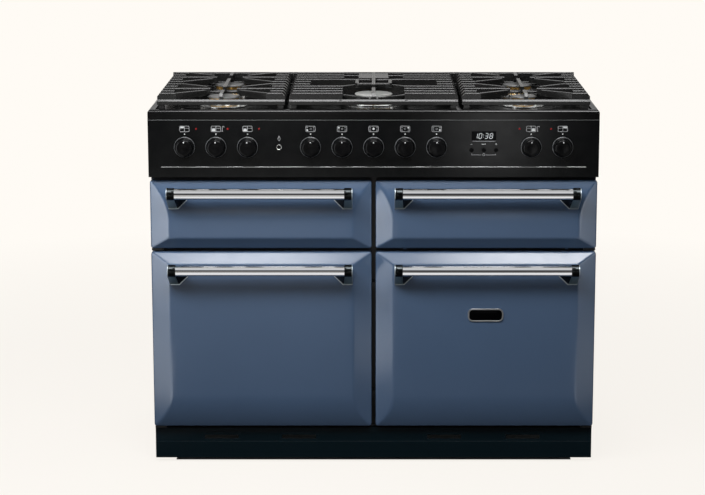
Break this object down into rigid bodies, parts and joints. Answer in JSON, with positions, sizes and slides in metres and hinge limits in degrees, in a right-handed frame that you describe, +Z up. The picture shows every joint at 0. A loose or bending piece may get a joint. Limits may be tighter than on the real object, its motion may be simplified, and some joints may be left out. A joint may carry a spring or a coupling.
{
  "type": "range cooker",
  "caption": "Free-standing dual-fuel range cooker with gas hob and pan supports, glide-out grill, slow oven, two side-hinged ovens, bar handles and knob panel.",
  "frame": {"origin": "centre of the bounding box in plan, on the floor under the feet", "axes": "+X to the cooker's right as seen from the front, -Y towards the user (the doors' side), +Z up"},
  "size_m": [1.1, 0.665, 0.938],
  "materials": {
    "door_enamel": "gloss vitreous enamel, steel blue",
    "black_enamel": "gloss vitreous enamel, black",
    "black_panel": "gloss black panel",
    "black_plinth": "satin black paint",
    "chrome": "polished chrome plate",
    "cast_iron": "matt enamelled cast iron",
    "burner_metal": "polished aluminium with brass rings",
    "cap_enamel": "satin light grey enamel",
    "brass": "machined brass",
    "knob_plastic": "gloss black",
    "switchgear": "matt black with a dark clock window",
    "galvanised": "galvanised sheet steel",
    "oven_enamel": "dark speckled oven enamel",
    "wire_chrome": "plated wire",
    "element_steel": "oxidised heating rod",
    "rubber": "matt black rubber"
  },
  "bodies": {
    "cabinet": {"chassis_base": "galvanised", "side_panels": "black_enamel", "back_panel": "galvanised", "supply_fittings": "brass", "front_frame": "black_enamel", "plinth": "black_plinth", "hob_top": "black_enamel", "burner_bodies": "burner_metal", "burner_caps": "cap_enamel", "gas_rail": "brass", "control_panel": "black_panel", "panel_electrics": "switchgear", "grill_chamber": "oven_enamel", "slow_liner": "oven_enamel", "left_liner": "oven_enamel", "right_liner": "oven_enamel", "wire_shelves": "wire_chrome", "fan_units": "galvanised", "heating_elements": "element_steel"},
    "grill_drawer": {"grill_front": "door_enamel", "grill_handle": "chrome", "grill_carriage": "galvanised", "grill_pan": "oven_enamel"},
    "grill_slides": {"grill_runners": "galvanised"},
    "slow_oven_door": {"slow_door": "door_enamel", "slow_inner": "oven_enamel", "slow_handle": "chrome"},
    "left_oven_door": {"left_door": "door_enamel", "left_inner": "oven_enamel", "left_handle": "chrome"},
    "right_oven_door": {"right_door": "door_enamel", "right_inner": "oven_enamel", "right_handle": "chrome"},
    "knob_1": {"knob_1": "knob_plastic"},
    "knob_2": {"knob_2": "knob_plastic"},
    "knob_3": {"knob_3": "knob_plastic"},
    "knob_4": {"knob_4": "knob_plastic"},
    "spindle_4": {"spindle_4": "brass"},
    "knob_5": {"knob_5": "knob_plastic"},
    "spindle_5": {"spindle_5": "brass"},
    "knob_6": {"knob_6": "knob_plastic"},
    "spindle_6": {"spindle_6": "brass"},
    "knob_7": {"knob_7": "knob_plastic"},
    "spindle_7": {"spindle_7": "brass"},
    "knob_8": {"knob_8": "knob_plastic"},
    "spindle_8": {"spindle_8": "brass"},
    "knob_9": {"knob_9": "knob_plastic"},
    "knob_10": {"knob_10": "knob_plastic"},
    "ignition_button": {"ignition_button": "chrome"},
    "clock_button_1": {"clock_button_1": "knob_plastic"},
    "clock_button_2": {"clock_button_2": "knob_plastic"},
    "clock_button_3": {"clock_button_3": "knob_plastic"},
    "left_fan": {"left_fan": "galvanised"},
    "right_fan": {"right_fan": "galvanised"},
    "left_foot": {"left_foot": "galvanised"},
    "right_foot": {"right_foot": "galvanised"},
    "rear_rollers": {"rear_rollers": "rubber"},
    "left_pan_support": {"left_pan_support": "cast_iron"},
    "centre_pan_support": {"centre_pan_support": "cast_iron"},
    "right_pan_support": {"right_pan_support": "cast_iron"}
  },
  "joints": [
    {"name": "grill_glide", "type": "slide", "parent": "cabinet", "child": "grill_drawer", "axis": [0, -1, 0], "range_m": [0, 0.32]},
    {"name": "grill_slides_glide", "type": "slide", "parent": "cabinet", "child": "grill_slides", "axis": [0, -1, 0], "range_m": [0, 0.16]},
    {"name": "slow_door_drop", "type": "hinge", "parent": "cabinet", "child": "slow_oven_door", "pos_m": [0.27725, -0.2415, 0.5635], "axis": [1, 0, 0], "range_deg": [0, 90]},
    {"name": "left_door_swing", "type": "hinge", "parent": "cabinet", "child": "left_oven_door", "pos_m": [-0.5405, -0.2295, 0.099], "axis": [0, 0, -1], "range_deg": [0, 100]},
    {"name": "right_door_swing", "type": "hinge", "parent": "cabinet", "child": "right_oven_door", "pos_m": [0.5405, -0.2295, 0.099], "axis": [0, 0, 1], "range_deg": [0, 100]},
    {"name": "knob_1_turn", "type": "hinge", "parent": "cabinet", "child": "knob_1", "pos_m": [-0.4605, -0.2675, 0.8095], "axis": [0, 1, 0], "range_deg": [0, 270]},
    {"name": "knob_2_turn", "type": "hinge", "parent": "cabinet", "child": "knob_2", "pos_m": [-0.38375, -0.2675, 0.8095], "axis": [0, 1, 0], "range_deg": [0, 270]},
    {"name": "knob_3_turn", "type": "hinge", "parent": "cabinet", "child": "knob_3", "pos_m": [-0.307, -0.2675, 0.8095], "axis": [0, 1, 0], "range_deg": [0, 315]},
    {"name": "knob_4_push", "type": "slide", "parent": "cabinet", "child": "spindle_4", "axis": [0, 1, 0], "range_m": [0, 0.004], "stiffness_N_per_m": 800},
    {"name": "knob_4_turn", "type": "hinge", "parent": "spindle_4", "child": "knob_4", "pos_m": [-0.1535, -0.2675, 0.8095], "axis": [0, -1, 0], "range_deg": [0, 210]},
    {"name": "knob_5_push", "type": "slide", "parent": "cabinet", "child": "spindle_5", "axis": [0, 1, 0], "range_m": [0, 0.004], "stiffness_N_per_m": 800},
    {"name": "knob_5_turn", "type": "hinge", "parent": "spindle_5", "child": "knob_5", "pos_m": [-0.07675, -0.2675, 0.8095], "axis": [0, -1, 0], "range_deg": [0, 210]},
    {"name": "knob_6_push", "type": "slide", "parent": "cabinet", "child": "spindle_6", "axis": [0, 1, 0], "range_m": [0, 0.004], "stiffness_N_per_m": 800},
    {"name": "knob_6_turn", "type": "hinge", "parent": "spindle_6", "child": "knob_6", "pos_m": [0, -0.2675, 0.8095], "axis": [0, -1, 0], "range_deg": [0, 210]},
    {"name": "knob_7_push", "type": "slide", "parent": "cabinet", "child": "spindle_7", "axis": [0, 1, 0], "range_m": [0, 0.004], "stiffness_N_per_m": 800},
    {"name": "knob_7_turn", "type": "hinge", "parent": "spindle_7", "child": "knob_7", "pos_m": [0.07675, -0.2675, 0.8095], "axis": [0, -1, 0], "range_deg": [0, 210]},
    {"name": "knob_8_push", "type": "slide", "parent": "cabinet", "child": "spindle_8", "axis": [0, 1, 0], "range_m": [0, 0.004], "stiffness_N_per_m": 800},
    {"name": "knob_8_turn", "type": "hinge", "parent": "spindle_8", "child": "knob_8", "pos_m": [0.1535, -0.2675, 0.8095], "axis": [0, -1, 0], "range_deg": [0, 210]},
    {"name": "knob_9_turn", "type": "hinge", "parent": "cabinet", "child": "knob_9", "pos_m": [0.38375, -0.2675, 0.8095], "axis": [0, 1, 0], "range_deg": [0, 270]},
    {"name": "knob_10_turn", "type": "hinge", "parent": "cabinet", "child": "knob_10", "pos_m": [0.4605, -0.2675, 0.8095], "axis": [0, 1, 0], "range_deg": [0, 270]},
    {"name": "ignition_button_press", "type": "slide", "parent": "cabinet", "child": "ignition_button", "axis": [0, 1, 0], "range_m": [0, 0.001], "stiffness_N_per_m": 400},
    {"name": "clock_button_1_press", "type": "slide", "parent": "cabinet", "child": "clock_button_1", "axis": [0, 1, 0], "range_m": [0, 0.001], "stiffness_N_per_m": 400},
    {"name": "clock_button_2_press", "type": "slide", "parent": "cabinet", "child": "clock_button_2", "axis": [0, 1, 0], "range_m": [0, 0.001], "stiffness_N_per_m": 400},
    {"name": "clock_button_3_press", "type": "slide", "parent": "cabinet", "child": "clock_button_3", "axis": [0, 1, 0], "range_m": [0, 0.001], "stiffness_N_per_m": 400},
    {"name": "left_fan_spin", "type": "hinge", "parent": "cabinet", "child": "left_fan", "pos_m": [-0.27725, 0.1965, 0.3215], "axis": [0, 1, 0], "continuous": true},
    {"name": "right_fan_spin", "type": "hinge", "parent": "cabinet", "child": "right_fan", "pos_m": [0.27725, 0.1965, 0.3215], "axis": [0, 1, 0], "continuous": true},
    {"name": "left_foot_level", "type": "slide", "parent": "cabinet", "child": "left_foot", "axis": [0, 0, -1], "range_m": [0, 0.025]},
    {"name": "right_foot_level", "type": "slide", "parent": "cabinet", "child": "right_foot", "axis": [0, 0, -1], "range_m": [0, 0.025]},
    {"name": "rear_rollers_roll", "type": "hinge", "parent": "cabinet", "child": "rear_rollers", "pos_m": [0, 0.2575, 0.022], "axis": [1, 0, 0], "continuous": true},
    {"name": "left_pan_support_lift", "type": "slide", "parent": "cabinet", "child": "left_pan_support", "axis": [0, 0, 1], "range_m": [0, 0.06]},
    {"name": "centre_pan_support_lift", "type": "slide", "parent": "cabinet", "child": "centre_pan_support", "axis": [0, 0, 1], "range_m": [0, 0.06]},
    {"name": "right_pan_support_lift", "type": "slide", "parent": "cabinet", "child": "right_pan_support", "axis": [0, 0, 1], "range_m": [0, 0.06]}
  ],
  "couplings": [
    {"joint": "grill_slides_glide", "follows": "grill_glide", "ratio": 0.5}
  ]
}
